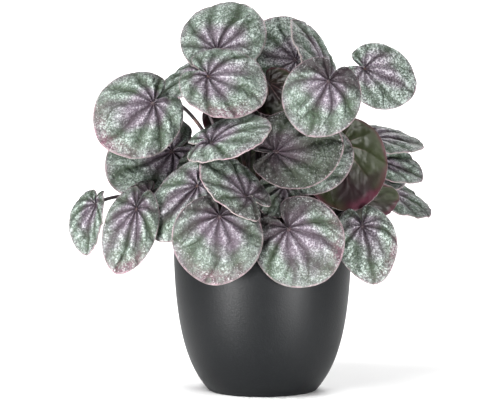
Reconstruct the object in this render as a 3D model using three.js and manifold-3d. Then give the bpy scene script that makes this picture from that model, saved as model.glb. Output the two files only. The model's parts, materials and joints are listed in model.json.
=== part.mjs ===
import * as THREE from "three";
import { mergeVertices } from "three/addons/utils/BufferGeometryUtils.js";
import Module from "manifold-3d";

const wasm = await Module();
wasm.setup();

// Potted ripple peperomia, in millimetres, +Z up, with the middle of the pot's foot at the origin.
// Its best side looks towards -Y.

// Pot: a smooth cup that swells quickly from its foot and then stands almost straight
const RIM_RADIUS = 55.75;
const RIM_HEIGHT = 103;
const FOOT_RADIUS = 33.9;
const SWELL_RADIUS = 45.9;
const SWELL_HEIGHT = 14;
const SHOULDER_RADIUS = 56.25;
const SHOULDER_HEIGHT = 35;
const WALL = 3.6;
const FLOOR_THICKNESS = 4.5;
const POT_SIDES = 32;
const OUTSIDE_STEPS = 9;
const INSIDE_STEPS = 6;

// Potting mix: heaped a little in the middle, with an uneven top
const SOIL_LEVEL = 88;
const SOIL_HEAP = 2.5;
const SOIL_BUMP = 0.9;
const SOIL_GAP = 0.3;

// Blade: a thick heart-shaped disc that its stalk joins at the bottom of the notch.
// All but the thickness are in blade radii or degrees. Angles are measured from the tip.
const BLADE_THICKNESS = 1.0;
const CENTRE_OFFSET = 0.46;
const TIP_POINT = 0.06;
const TIP_POINT_WIDTH = 14;
const TIP_POINT_SPREAD = 3;
const NOTCH_ANGLE = 172;
const LOBE_SWELL = 0.2;
const LOBE_TURN = 146;
const NOTCH_REACH = 0.25;
const VEIN_CURVE = 0.3;
const RIBS_PER_SIDE = 4.5;
const RIB_HEIGHT = 0.105;
const HEART_SINK = 0.1;
const DOME = 0.13;
const MARGIN_WAVE = 0.035;
const MIDRIB_ROUND = 0.25;
const INNER_RING = 0.38;
const OUTER_RINGS = [0.72, 1];
const SPOKES_PER_SIDE = 9;

// Stalk
const STALK_RADIUS = 1.3;
const STALK_INSET = 0.3;
const STALK_SIDES = 5;
const STALK_STEPS = 7;
const ROOT_DEPTH = 8;
const ROOT_LEAN = 0.18;
const ROOT_RING = 31;
const HOLE_SIDES = 5;
const HOLE_CLEARANCE = 0.5;

// A join can leave edges too short to matter, and these are closed up
const SHORTEST_EDGE = 0.02;

const POT_COLOUR = 0x2f3338;
const SOIL_COLOUR = 0x2c2018;
const LEAF_COLOUR = 0x7f9182;

// Leaves seen from the front, from the top left to the bottom right, and a few just behind them.
// heart: where the stalk meets the blade. tip: the far end of the blade.
// faces: where the upper side looks, in degrees round from +X and degrees up.
// Some also have: wide, the breadth against a round blade. lobes: the size of the two lobes.
// point: how far the tip stands out. fold: how steeply its halves bend forwards from the midrib.
// back and away: how strongly the stalk leaves behind the blade and off past the notch.
// root: where the stalk leaves the soil, if not by the rule.
const LEAVES = [
  { heart: [-67, -24, 181], tip: [-99, -32, 156], faces: [-95, 12], lobes: 0.9, back: 0.1, away: 1,
    root: [-13.5, -5] },
  { heart: [-28, -26, 214], tip: [-14, -4, 244], faces: [-92, 42] },
  { heart: [-33, -46, 198], tip: [1, -54, 183], faces: [-88, 35] },
  { heart: [21, 5, 207], tip: [-4, 7, 228], faces: [-95, 15] },
  { heart: [42, -13, 196], tip: [21, -17, 233], faces: [-22, 10], wide: 0.8, lobes: 0.6, root: [13, -8] },
  { heart: [39.5, -50, 194.5], tip: [25, -57, 162], faces: [-88, 15], lobes: 0.88 },
  { heart: [64, -6, 202], tip: [96, 0, 187], faces: [-80, 18], wide: 0.9, lobes: 0.78, root: [13, 11] },
  { heart: [-32, -60, 159], tip: [4, -68, 169], faces: [-97, 58], wide: 0.88 },
  { heart: [-56, -6, 151], tip: [-96, -14, 133], faces: [-95, 22], root: [-21, 1] },
  { heart: [-40, -52, 132], tip: [-66, -56, 100], faces: [-112, 12], wide: 0.7 },
  { heart: [-76, -57, 118], tip: [-88, -63, 79], faces: [-95, 5], wide: 0.6, lobes: 0.8, back: 1.2 },
  { heart: [-104, -20, 118.5], tip: [-110, -26, 87], faces: [-130, 5], wide: 0.68, lobes: 0.72,
    point: 0.12, fold: 0.7 },
  { heart: [-26, -66, 114], tip: [-30, -71, 73], faces: [-92, -4], lobes: 0.75 },
  { heart: [15, -60, 106], tip: [39, -64, 76], faces: [-88, 0], wide: 1.08 },
  { heart: [-9, -72, 127], tip: [-35, -71, 149], faces: [-52, 34], wide: 0.85, lobes: 1.1, back: 0.35,
    away: 0.2 },
  { heart: [8, -53, 152], tip: [49, -45, 158], faces: [-82, 15], wide: 0.88, lobes: 0.92 },
  { heart: [18, -39, 147], tip: [56, -34, 151], faces: [-80, 12], wide: 0.92 },
  { heart: [48, -24, 154], tip: [55, -26, 114], faces: [100, -5] },
  { heart: [67, 14, 159], tip: [103, 16, 155], faces: [-80, 68], point: 0.3, root: [17, 6] },
  { heart: [71, 8, 145], tip: [102, 10, 133], faces: [-80, 55], lobes: 0.85, point: 0.3, fold: 0.3,
    root: [24, 1] },
  { heart: [66, 10, 134], tip: [92, 12, 134], faces: [-82, 58], root: [26, 8] },
  { heart: [53, -6, 117], tip: [85, -4, 123], faces: [80, 42], wide: 0.8 },
  { heart: [78, 24, 126], tip: [109, 26, 110], faces: [-80, 64], point: 0.3, root: [28, 13] },
  { heart: [61, -35, 106], tip: [70, -42, 71], faces: [-80, 4], wide: 0.86, lobes: 0.92, point: 0.2 },
  { heart: [13, -49, 131], tip: [1, -54, 114], faces: [-90, 14], lobes: 0.68, back: 0.5, away: 0.1,
    root: [10, -26] },
  { heart: [-38, -6, 200.5], tip: [-67, -10, 184.5], faces: [-110, 60], wide: 0.8, away: 0.3,
    root: [-5, -1] },
  { heart: [4, -22, 191], tip: [16, -34, 173], faces: [90, -22] },
  { heart: [-70, -28, 124], tip: [-84, -34, 105], faces: [-130, -10] },
  { heart: [46, -4, 183], tip: [57, -4, 162], faces: [-8, 28], lobes: 0.7, root: [20, 1] },
  { heart: [-35, -17, 145], tip: [-47, -25, 127], faces: [-100, 25], root: [-12, -15] },
];

// Leaves round the far side, from the bottom up. bearing: degrees round from +X.
// out and height: of the heart. span: from heart to tip. roll: degrees from hanging straight down.
// up: how far the face looks up.
const FAR_LEAVES = [
  { bearing: 48, out: 70, height: 112, span: 38, roll: -14, up: 8 },
  { bearing: 74, out: 62, height: 115, span: 40, roll: 16, up: 5 },
  { bearing: 104, out: 70, height: 111, span: 38, roll: -10, up: 4 },
  { bearing: 131, out: 63, height: 114, span: 36, roll: 12, up: 6 },
  { bearing: 163, out: 66, height: 124, span: 31, roll: 10, up: 24 },
  { bearing: 52, out: 62, height: 144, span: 38, roll: 18, up: 26 },
  { bearing: 90, out: 66, height: 150, span: 40, roll: -20, up: 24 },
  { bearing: 126, out: 71, height: 144, span: 36, roll: 14, up: 28 },
  { bearing: 158, out: 62, height: 146, span: 36, roll: -18, up: 26 },
  { bearing: 46, out: 62, height: 175, span: 35, roll: 18, up: 36 },
  { bearing: 74, out: 40, height: 192, span: 35, roll: -20, up: 38 },
  { bearing: 100, out: 56, height: 182, span: 38, roll: 20, up: 38 },
  { bearing: 80, out: 22, height: 214, span: 36, roll: 8, up: 52 },
  { bearing: 148, out: 24, height: 206, span: 32, roll: -14, up: 46 },
];

const rad = THREE.MathUtils.degToRad;
const rise = THREE.MathUtils.smoothstep;

function toManifold(geometry) {
  const bare = geometry.clone();
  bare.deleteAttribute("normal");
  bare.deleteAttribute("uv");
  const welded = mergeVertices(bare);
  return new wasm.Manifold(
    new wasm.Mesh({
      numProp: 3,
      vertProperties: new Float32Array(welded.attributes.position.array),
      triVerts: new Uint32Array(welded.index.array),
    }),
  );
}

function fromManifold(solid) {
  const { vertProperties, triVerts } = solid.getMesh();
  const geometry = new THREE.BufferGeometry();
  geometry.setAttribute("position", new THREE.BufferAttribute(vertProperties, 3));
  geometry.setIndex(Array.from(triVerts));
  return closeSlivers(geometry);
}

// Joins the two ends of every edge that is too short, and drops the triangles that this flattens
function closeSlivers(geometry) {
  const { position } = geometry.attributes;
  const index = geometry.index.array;
  const kept = Array.from({ length: position.count }, (_, i) => i);
  const keptFor = (i) => (kept[i] === i ? i : keptFor(kept[i]));
  const from = new THREE.Vector3();
  const to = new THREE.Vector3();
  for (let i = 0; i < index.length; i += 1) {
    const next = i % 3 === 2 ? i - 2 : i + 1;
    from.fromBufferAttribute(position, index[i]);
    to.fromBufferAttribute(position, index[next]);
    if (from.distanceTo(to) < SHORTEST_EDGE) {
      kept[keptFor(index[next])] = keptFor(index[i]);
    }
  }
  const triangles = [];
  for (let i = 0; i < index.length; i += 3) {
    const [a, b, c] = [0, 1, 2].map((k) => keptFor(index[i + k]));
    if (a !== b && b !== c && c !== a) {
      triangles.push(a, b, c);
    }
  }
  return geometry.setIndex(triangles);
}

function makeMesh(name, geometry, color, roughness) {
  geometry.computeVertexNormals();
  const material = new THREE.MeshStandardMaterial({ color, roughness, metalness: 0 });
  const mesh = new THREE.Mesh(geometry, material);
  mesh.name = name;
  return mesh;
}

// A profile of [radius, height] points turned about the Z axis
function turned(profile) {
  const points = profile.map(([radius, height]) => new THREE.Vector2(radius, height));
  return new THREE.LatheGeometry(points, POT_SIDES).rotateX(Math.PI / 2);
}

// The pot's side from foot to rim, moved inwards by a distance and kept between two heights
function sideOutline(inwards, bottom, top, steps) {
  const curve = new THREE.CubicBezierCurve(
    new THREE.Vector2(FOOT_RADIUS - inwards, 0),
    new THREE.Vector2(SWELL_RADIUS - inwards, SWELL_HEIGHT),
    new THREE.Vector2(SHOULDER_RADIUS - inwards, SHOULDER_HEIGHT),
    new THREE.Vector2(RIM_RADIUS - inwards, RIM_HEIGHT),
  );
  return curve
    .getPoints(steps)
    .map((point) => [point.x, THREE.MathUtils.clamp(point.y, bottom, top)])
    .filter(([, height], i, all) => i === 0 || height > all[i - 1][1] + SHORTEST_EDGE);
}

function makePot() {
  const lip = WALL / 2;
  const outside = sideOutline(0, 0, RIM_HEIGHT - lip, OUTSIDE_STEPS);
  const inside = sideOutline(WALL, FLOOR_THICKNESS, RIM_HEIGHT - lip, INSIDE_STEPS);
  const rim = [30, 90, 150].map((angle) => [
    RIM_RADIUS - lip + lip * Math.cos(rad(angle)),
    RIM_HEIGHT - lip + lip * Math.sin(rad(angle)),
  ]);
  return turned([[0, 0], ...outside, ...rim, ...inside.reverse(), [0, FLOOR_THICKNESS], [0, 0]]);
}

function soilHeight(x, y) {
  const heap = SOIL_HEAP * (1 - Math.hypot(x, y) / RIM_RADIUS);
  return SOIL_LEVEL + heap + SOIL_BUMP * Math.sin(x * 0.33 + 1) * Math.cos(y * 0.29);
}

function makeSoil() {
  const bottom = FLOOR_THICKNESS + SOIL_GAP;
  const side = sideOutline(WALL + SOIL_GAP, bottom, SOIL_LEVEL, INSIDE_STEPS);
  const edge = side[side.length - 1][0];
  const top = [0.72, 0.42, 0].map((part) => [edge * part, SOIL_LEVEL + 1]);
  const geometry = turned([[0, bottom], ...side, ...top, [0, bottom]]);
  const { position } = geometry.attributes;
  for (let i = 0; i < position.count; i += 1) {
    if (position.getZ(i) > SOIL_LEVEL) {
      position.setZ(i, soilHeight(position.getX(i), position.getY(i)));
    }
  }
  return geometry;
}

// A far leaf in the terms of the others: its blade hangs down from its heart, turned by its roll
function farLeaf({ bearing, out, height, span, roll, up }) {
  const outward = new THREE.Vector3(Math.cos(rad(bearing)), Math.sin(rad(bearing)), 0);
  const sideways = new THREE.Vector3(-outward.y, outward.x, 0);
  const heart = outward.clone().multiplyScalar(out).setZ(height);
  const down = outward.clone().multiplyScalar(Math.sin(rad(up))).setZ(-Math.cos(rad(up)));
  const tip = heart
    .clone()
    .addScaledVector(down, span * Math.cos(rad(roll)))
    .addScaledVector(sideways, span * Math.sin(rad(roll)));
  return { heart: heart.toArray(), tip: tip.toArray(), faces: [bearing, up] };
}

// Where a blade sits: its heart at the origin, X along to the tip, Z out of the upper face
function leafPlacement(leaf) {
  const heart = new THREE.Vector3(...leaf.heart);
  const along = new THREE.Vector3(...leaf.tip).sub(heart).normalize();
  const [round, up] = leaf.faces.map(rad);
  const face = new THREE.Vector3(
    Math.cos(up) * Math.cos(round),
    Math.cos(up) * Math.sin(round),
    Math.sin(up),
  );
  const out = face.addScaledVector(along, -face.dot(along)).normalize();
  const across = new THREE.Vector3().crossVectors(out, along);
  return new THREE.Matrix4().makeBasis(along, across, out).setPosition(heart);
}

function bladeRadius(leaf) {
  const span = new THREE.Vector3(...leaf.heart).distanceTo(new THREE.Vector3(...leaf.tip));
  return span / (1 + CENTRE_OFFSET + (leaf.point ?? TIP_POINT));
}

// Distance from the heart to the margin at an angle from the tip, in blade radii
function bladeReach(leaf, angle) {
  const lobes = leaf.lobes ?? 1;
  const sine = CENTRE_OFFSET * Math.sin(rad(angle));
  const circle = CENTRE_OFFSET * Math.cos(rad(angle)) + Math.sqrt(1 - sine * sine);
  const point = leaf.point ?? TIP_POINT;
  const pointWidth = TIP_POINT_WIDTH * (1 + TIP_POINT_SPREAD * point);
  const tip = point * Math.exp(-((angle / pointWidth) ** 2));
  const size = 1 + (lobes * (1 + LOBE_SWELL) - 1) * rise(Math.abs(angle), 60, 150);
  const turn = THREE.MathUtils.mapLinear(Math.abs(angle), LOBE_TURN, NOTCH_ANGLE, 0, 1);
  const corner = Math.sqrt(1 - THREE.MathUtils.clamp(turn, 0, 1) ** 2);
  return (circle + tip) * size * (NOTCH_REACH + (1 - NOTCH_REACH) * corner);
}

// A point of the upper face. spoke runs from -1 to 1, from one side of the notch round the tip to
// the other, and ring from 0 at the heart to 1 at the margin. Veins are the valleys between ribs.
function bladePoint(leaf, spoke, ring) {
  const angle = NOTCH_ANGLE * spoke * (1 - VEIN_CURVE * ring * (1 - spoke * spoke));
  const reach = ring * bladeReach(leaf, angle);
  const swell = ring ** 0.7 * (1 - 0.45 * ring ** 3);
  const ribs = RIB_HEIGHT * swell * Math.abs(Math.sin(Math.PI * RIBS_PER_SIDE * spoke)) ** 0.8;
  const sink = HEART_SINK * Math.exp(-((ring / 0.25) ** 2));
  const dome = DOME * ring ** 3;
  const wave = MARGIN_WAVE * ring * ring * Math.sin(rad(3 * angle) + leaf.heart[0]);
  const along = reach * Math.cos(rad(angle));
  const across = reach * Math.sin(rad(angle)) * (leaf.wide ?? 1);
  const fold = (leaf.fold ?? 0) * (Math.hypot(across, MIDRIB_ROUND) - MIDRIB_ROUND);
  const height = ribs - sink - dome + wave + fold;
  return new THREE.Vector3(along, across, height).multiplyScalar(bladeRadius(leaf));
}

// Rows of corners round the blade from one side of the notch to the other. The heart is one corner,
// the inner row has a corner on each vein only, and the outer rows also have one on each rib.
function bladeRows(leaf) {
  const upper = [];
  const corner = (spoke, ring) => ({ spoke, number: upper.push(bladePoint(leaf, spoke, ring)) - 1 });
  const spokes = [];
  for (let spoke = -SPOKES_PER_SIDE; spoke <= SPOKES_PER_SIDE; spoke += 1) {
    spokes.push(spoke / SPOKES_PER_SIDE);
  }
  const veins = spokes.filter((spoke, i) => i % 2 === 1 || Math.abs(spoke) === 1);
  const rows = [[corner(0, 0)], veins.map((spoke) => corner(spoke, INNER_RING))];
  for (const ring of OUTER_RINGS) {
    rows.push(spokes.map((spoke) => corner(spoke, ring)));
  }
  return { upper, rows };
}

// Triangles that fill the band between two rows
function stitch(inner, outer) {
  const triangles = [];
  let i = 0;
  let o = 0;
  while (i < inner.length - 1 || o < outer.length - 1) {
    const half = i < inner.length - 1 ? (inner[i].spoke + inner[i + 1].spoke) / 2 : 1;
    if (o < outer.length - 1 && outer[o + 1].spoke < half + 0.001) {
      triangles.push([inner[i].number, outer[o].number, outer[o + 1].number]);
      o += 1;
    } else {
      triangles.push([inner[i].number, outer[o].number, inner[i + 1].number]);
      i += 1;
    }
  }
  return triangles;
}

// The lower face has the same triangles as the upper one. A wall runs round the margin and the notch.
function makeBlade(leaf) {
  const { upper, rows } = bladeRows(leaf);
  const down = new THREE.Vector3(0, 0, -BLADE_THICKNESS);
  const lower = upper.map((point) => point.clone().add(down));
  const under = upper.length;
  const triangles = [];
  for (let row = 1; row < rows.length; row += 1) {
    for (const [a, b, c] of stitch(rows[row - 1], rows[row])) {
      triangles.push(a, b, c, under + a, under + c, under + b);
    }
  }
  const between = rows.slice(1, -1);
  const wall = [
    ...rows[0],
    ...between.map((row) => row[0]),
    ...rows[rows.length - 1],
    ...between.map((row) => row[row.length - 1]).reverse(),
  ].map((corner) => corner.number);
  wall.forEach((a, i) => {
    const b = wall[(i + 1) % wall.length];
    triangles.push(a, under + a, under + b, a, under + b, b);
  });
  return new THREE.BufferGeometry().setFromPoints([...upper, ...lower]).setIndex(triangles);
}

// Where a stalk leaves the soil: on the leaf's own side, further out for a leaf that hangs low
function rootPoint(leaf) {
  const [x, y, z] = leaf.heart;
  const low = THREE.MathUtils.clamp((230 - z) / 130, 0, 1);
  const outward = THREE.MathUtils.clamp(Math.hypot(x, y) / 90, 0, 1);
  const ring = ROOT_RING * (0.15 + 0.45 * low + 0.4 * outward);
  const bearing = Math.atan2(y, x);
  const [rootX, rootY] = leaf.root ?? [ring * Math.cos(bearing), ring * Math.sin(bearing)];
  return new THREE.Vector3(rootX, rootY, SOIL_LEVEL + 1.5);
}

// Stalks stand almost upright in the soil and lean outwards, more so towards the pot's wall
function rootDirection(root) {
  const lean = ROOT_LEAN * (1 / ROOT_RING + 1 / (ROOT_RING * Math.max(root.length(), 1)));
  return new THREE.Vector3(root.x * lean, root.y * lean, 1).normalize();
}

// Bends from the heart down to the soil and ends in a straight root
class StalkPath extends THREE.Curve {
  constructor(bend, rootEnd) {
    super();
    this.bend = bend;
    this.rootEnd = rootEnd;
    this.bendPart = bend.getLength() / (bend.getLength() + ROOT_DEPTH);
  }

  getPoint(t, target = new THREE.Vector3()) {
    if (t <= this.bendPart) {
      return this.bend.getPoint(t / this.bendPart, target);
    }
    const along = (t - this.bendPart) / (1 - this.bendPart);
    return target.copy(this.bend.v3).lerp(this.rootEnd, along);
  }
}

function stalkPath(leaf, placement) {
  const along = new THREE.Vector3();
  const across = new THREE.Vector3();
  const out = new THREE.Vector3();
  placement.extractBasis(along, across, out);
  const depth = HEART_SINK * bladeRadius(leaf) + BLADE_THICKNESS / 2;
  const start = new THREE.Vector3(-STALK_INSET, 0, -depth).applyMatrix4(placement);
  const leaving = out.multiplyScalar(-(leaf.back ?? 0.75)).addScaledVector(along, -(leaf.away ?? 0.65));
  const root = rootPoint(leaf);
  const direction = rootDirection(root);
  const distance = start.distanceTo(root);
  const bend = new THREE.CubicBezierCurve3(
    start,
    start.clone().addScaledVector(leaving, 0.22 * distance),
    root.clone().addScaledVector(direction, 0.5 * distance),
    root,
  );
  return new StalkPath(bend, root.clone().addScaledVector(direction, -ROOT_DEPTH));
}

function makeStalk(leaf, placement) {
  const section = new THREE.Shape();
  section.absarc(0, 0, STALK_RADIUS, 0, 2 * Math.PI);
  const corners = section.getSpacedPoints(STALK_SIDES).slice(0, STALK_SIDES);
  return new THREE.ExtrudeGeometry(new THREE.Shape(corners), {
    steps: STALK_STEPS,
    bevelEnabled: false,
    extrudePath: stalkPath(leaf, placement),
  });
}

// The plain hole that a stalk stands in
function makeHole(leaf) {
  const root = rootPoint(leaf);
  const direction = rootDirection(root);
  const length = ROOT_DEPTH + 8;
  const radius = (STALK_RADIUS + HOLE_CLEARANCE) / Math.cos(Math.PI / HOLE_SIDES);
  const middle = root.clone().addScaledVector(direction, length / 2 - ROOT_DEPTH - 0.5);
  const turn = new THREE.Quaternion().setFromUnitVectors(new THREE.Vector3(0, 1, 0), direction);
  return new THREE.CylinderGeometry(radius, radius, length, HOLE_SIDES)
    .applyQuaternion(turn)
    .translate(middle.x, middle.y, middle.z);
}

// A leaf is one piece: its stalk is joined to its blade, and the mesh is placed by its heart
function makeLeaf(leaf, name) {
  const placement = leafPlacement(leaf);
  const stalk = makeStalk(leaf, placement).applyMatrix4(placement.clone().invert());
  const geometry = fromManifold(toManifold(makeBlade(leaf)).add(toManifold(stalk)));
  const mesh = makeMesh(name, geometry, LEAF_COLOUR, 0.6);
  placement.decompose(mesh.position, mesh.quaternion, mesh.scale);
  return mesh;
}

const leaves = [...LEAVES, ...FAR_LEAVES.map(farLeaf)];
const foliage = new THREE.Group();
let soil = toManifold(makeSoil());
leaves.forEach((leaf, i) => {
  foliage.add(makeLeaf(leaf, `leaf_${String(i + 1).padStart(2, "0")}`));
  soil = soil.subtract(toManifold(makeHole(leaf)));
});

const plant = new THREE.Group();
plant.name = "potted_ripple_peperomia";
plant.add(makeMesh("pot", fromManifold(toManifold(makePot())), POT_COLOUR, 0.5));
plant.add(makeMesh("soil", fromManifold(soil), SOIL_COLOUR, 0.9));
plant.add(foliage);

export default plant;
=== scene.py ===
# %% [markdown]
# # A potted ripple peperomia
# Ripple peperomia is a small house plant. It is grown for its thick, heart-shaped leaves, which look
# quilted, because every vein lies in a deep groove and the leaf swells up between the veins.
# A solid model of the plant exists already, with each leaf as one plain faceted piece. This lesson
# gives it the surfaces of the real one: finer leaves with their colours and frost, a smooth pot and
# crumbly potting mix. The solid model holds all sizes, so it is loaded first, and its box is kept to
# print beside that of the finer pieces at the end.

import json
import math
import random

import bmesh
import bpy
import numpy as np
from mathutils import Matrix, Vector, noise

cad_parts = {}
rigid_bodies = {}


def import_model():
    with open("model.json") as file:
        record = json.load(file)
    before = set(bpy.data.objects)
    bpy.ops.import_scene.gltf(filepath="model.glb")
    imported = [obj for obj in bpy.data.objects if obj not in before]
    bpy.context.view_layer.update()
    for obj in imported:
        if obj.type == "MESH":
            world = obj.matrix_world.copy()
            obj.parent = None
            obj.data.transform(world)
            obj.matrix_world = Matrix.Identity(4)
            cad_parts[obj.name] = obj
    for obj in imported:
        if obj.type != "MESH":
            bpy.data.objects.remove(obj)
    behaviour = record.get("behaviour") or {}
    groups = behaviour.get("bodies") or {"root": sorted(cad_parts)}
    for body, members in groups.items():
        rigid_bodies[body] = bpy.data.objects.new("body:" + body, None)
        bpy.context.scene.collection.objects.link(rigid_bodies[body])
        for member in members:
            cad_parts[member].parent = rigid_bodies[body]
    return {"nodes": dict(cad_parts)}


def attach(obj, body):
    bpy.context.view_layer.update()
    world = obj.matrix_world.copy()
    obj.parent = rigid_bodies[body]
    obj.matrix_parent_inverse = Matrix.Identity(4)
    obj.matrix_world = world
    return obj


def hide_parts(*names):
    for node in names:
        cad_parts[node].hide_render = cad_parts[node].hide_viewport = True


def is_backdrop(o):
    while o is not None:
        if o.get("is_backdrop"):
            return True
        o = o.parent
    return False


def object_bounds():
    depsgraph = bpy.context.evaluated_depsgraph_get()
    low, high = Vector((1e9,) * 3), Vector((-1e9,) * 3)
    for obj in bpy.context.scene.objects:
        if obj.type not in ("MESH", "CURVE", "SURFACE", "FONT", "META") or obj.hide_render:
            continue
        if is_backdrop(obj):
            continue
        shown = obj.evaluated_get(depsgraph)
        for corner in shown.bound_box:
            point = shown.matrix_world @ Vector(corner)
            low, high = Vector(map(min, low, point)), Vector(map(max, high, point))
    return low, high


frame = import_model()
solid_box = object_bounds()
print("solid pieces:", len(frame["nodes"]))

# %% [markdown]
# ## Sizes
# Blender works in metres here, and a leaf is easier to think of in millimetres. All sizes are
# therefore written in millimetres and turned into metres by one factor. Angles are written in
# degrees and turned into radians where they are named.

# %% Sizes of the pot and of the potting mix
MM = 0.001

RIM_RADIUS = 55.75 * MM
RIM_HEIGHT = 103 * MM
FOOT_RADIUS = 33.9 * MM
SWELL = (45.9 * MM, 14 * MM)
SHOULDER = (56.25 * MM, 35 * MM)
WALL = 3.6 * MM
FLOOR_THICKNESS = 4.5 * MM
SOIL_LEVEL = 88 * MM
SOIL_HEAP = 2.5 * MM
SOIL_GAP = 0.3 * MM
print("pot:", round(2 * RIM_RADIUS / MM), "mm across and", round(RIM_HEIGHT / MM), "mm high")

# %% Sizes of a leaf
# Lengths without MM are shares of the blade's radius, measured from the heart, where the stalk joins.
BLADE_THICKNESS = 1.0 * MM
CENTRE_OFFSET = 0.46
TIP_POINT = 0.06
TIP_POINT_WIDTH = math.radians(14)
TIP_POINT_SPREAD = 3
NOTCH_ANGLE = math.radians(172)
LOBE_SWELL = 0.2
LOBE_TURN = math.radians(146)
NOTCH_REACH = 0.25
VEIN_CURVE = 0.3
RIBS_PER_SIDE = 4.5
RIB_HEIGHT = 0.105
HEART_SINK = 0.1
DOME = 0.13
MARGIN_WAVE = 0.035
MIDRIB_ROUND = 0.25
TYPICAL_RADIUS = 23 * MM
STALK_RADIUS = 1.3 * MM
STALK_INSET = 0.3 * MM
ROOT_DEPTH = 8 * MM
ROOT_LEAN = 0.18
ROOT_RING = 31
print("ribs on a leaf:", round(2 * RIBS_PER_SIDE))

# %% [markdown]
# ## Where the leaves are
# Every leaf is described by the point where its stalk meets the blade (its heart), the point at the
# far end of the blade (its tip) and the way that its upper side faces. The order runs from the top
# left to the bottom right, as the plant is seen from its best side. Leaves could be scattered by a
# rule, but this plant is known by the few large leaves that stand in front, so each of those is
# placed one by one. The leaves round the far side follow a simpler description by their bearing.

# %% The leaves seen from the front
# heart and tip: in millimetres. faces: degrees round from +X, and degrees up. wide: the breadth
# against a round blade. lobes: the size of the two lobes. point: how far the tip stands out. fold: how
# steeply its halves bend forwards from the midrib. back and away: how strongly the stalk leaves behind
# the blade and off past the notch. root: where the stalk leaves the soil, if not by the rule.
LEAVES = [
    dict(heart=(-67, -24, 181), tip=(-99, -32, 156), faces=(-95, 12),
         lobes=0.9, back=0.1, away=1, root=(-13.5, -5)),
    dict(heart=(-28, -26, 214), tip=(-14, -4, 244), faces=(-92, 42)),
    dict(heart=(-33, -46, 198), tip=(1, -54, 183), faces=(-88, 35)),
    dict(heart=(21, 5, 207), tip=(-4, 7, 228), faces=(-95, 15)),
    dict(heart=(42, -13, 196), tip=(21, -17, 233), faces=(-22, 10), wide=0.8, lobes=0.6, root=(13, -8)),
    dict(heart=(39.5, -50, 194.5), tip=(25, -57, 162), faces=(-88, 15), lobes=0.88),
    dict(heart=(64, -6, 202), tip=(96, 0, 187), faces=(-80, 18), wide=0.9, lobes=0.78, root=(13, 11)),
    dict(heart=(-32, -60, 159), tip=(4, -68, 169), faces=(-97, 58), wide=0.88),
    dict(heart=(-56, -6, 151), tip=(-96, -14, 133), faces=(-95, 22), root=(-21, 1)),
    dict(heart=(-40, -52, 132), tip=(-66, -56, 100), faces=(-112, 12), wide=0.7),
    dict(heart=(-76, -57, 118), tip=(-88, -63, 79), faces=(-95, 5), wide=0.6, lobes=0.8, back=1.2),
    dict(heart=(-104, -20, 118.5), tip=(-110, -26, 87), faces=(-130, 5),
         wide=0.68, lobes=0.72, point=0.12, fold=0.7),
    dict(heart=(-26, -66, 114), tip=(-30, -71, 73), faces=(-92, -4), lobes=0.75),
    dict(heart=(15, -60, 106), tip=(39, -64, 76), faces=(-88, 0), wide=1.08),
    dict(heart=(-9, -72, 127), tip=(-35, -71, 149), faces=(-52, 34),
         wide=0.85, lobes=1.1, back=0.35, away=0.2),
    dict(heart=(8, -53, 152), tip=(49, -45, 158), faces=(-82, 15), wide=0.88, lobes=0.92),
    dict(heart=(18, -39, 147), tip=(56, -34, 151), faces=(-80, 12), wide=0.92),
    dict(heart=(48, -24, 154), tip=(55, -26, 114), faces=(100, -5)),
    dict(heart=(67, 14, 159), tip=(103, 16, 155), faces=(-80, 68), point=0.3, root=(17, 6)),
    dict(heart=(71, 8, 145), tip=(102, 10, 133), faces=(-80, 55),
         lobes=0.85, point=0.3, fold=0.3, root=(24, 1)),
    dict(heart=(66, 10, 134), tip=(92, 12, 134), faces=(-82, 58), root=(26, 8)),
    dict(heart=(53, -6, 117), tip=(85, -4, 123), faces=(80, 42), wide=0.8),
    dict(heart=(78, 24, 126), tip=(109, 26, 110), faces=(-80, 64), point=0.3, root=(28, 13)),
    dict(heart=(61, -35, 106), tip=(70, -42, 71), faces=(-80, 4), wide=0.86, lobes=0.92, point=0.2),
    dict(heart=(13, -49, 131), tip=(1, -54, 114), faces=(-90, 14),
         lobes=0.68, back=0.5, away=0.1, root=(10, -26)),
    dict(heart=(-38, -6, 200.5), tip=(-67, -10, 184.5), faces=(-110, 60),
         wide=0.8, away=0.3, root=(-5, -1)),
    dict(heart=(4, -22, 191), tip=(16, -34, 173), faces=(90, -22)),
    dict(heart=(-70, -28, 124), tip=(-84, -34, 105), faces=(-130, -10)),
    dict(heart=(46, -4, 183), tip=(57, -4, 162), faces=(-8, 28), lobes=0.7, root=(20, 1)),
    dict(heart=(-35, -17, 145), tip=(-47, -25, 127), faces=(-100, 25), root=(-12, -15)),
]
print("leaves seen from the front:", len(LEAVES))

# %% The leaves round the far side
# bearing: degrees round from +X. out and height: of the heart. span: from heart to tip.
# roll: degrees from hanging straight down. up: how far the face looks up.
FAR_LEAVES = [
    dict(bearing=48, out=70, height=112, span=38, roll=-14, up=8),
    dict(bearing=74, out=62, height=115, span=40, roll=16, up=5),
    dict(bearing=104, out=70, height=111, span=38, roll=-10, up=4),
    dict(bearing=131, out=63, height=114, span=36, roll=12, up=6),
    dict(bearing=163, out=66, height=124, span=31, roll=10, up=24),
    dict(bearing=52, out=62, height=144, span=38, roll=18, up=26),
    dict(bearing=90, out=66, height=150, span=40, roll=-20, up=24),
    dict(bearing=126, out=71, height=144, span=36, roll=14, up=28),
    dict(bearing=158, out=62, height=146, span=36, roll=-18, up=26),
    dict(bearing=46, out=62, height=175, span=35, roll=18, up=36),
    dict(bearing=74, out=40, height=192, span=35, roll=-20, up=38),
    dict(bearing=100, out=56, height=182, span=38, roll=20, up=38),
    dict(bearing=80, out=22, height=214, span=36, roll=8, up=52),
    dict(bearing=148, out=24, height=206, span=32, roll=-14, up=46),
]


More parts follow.
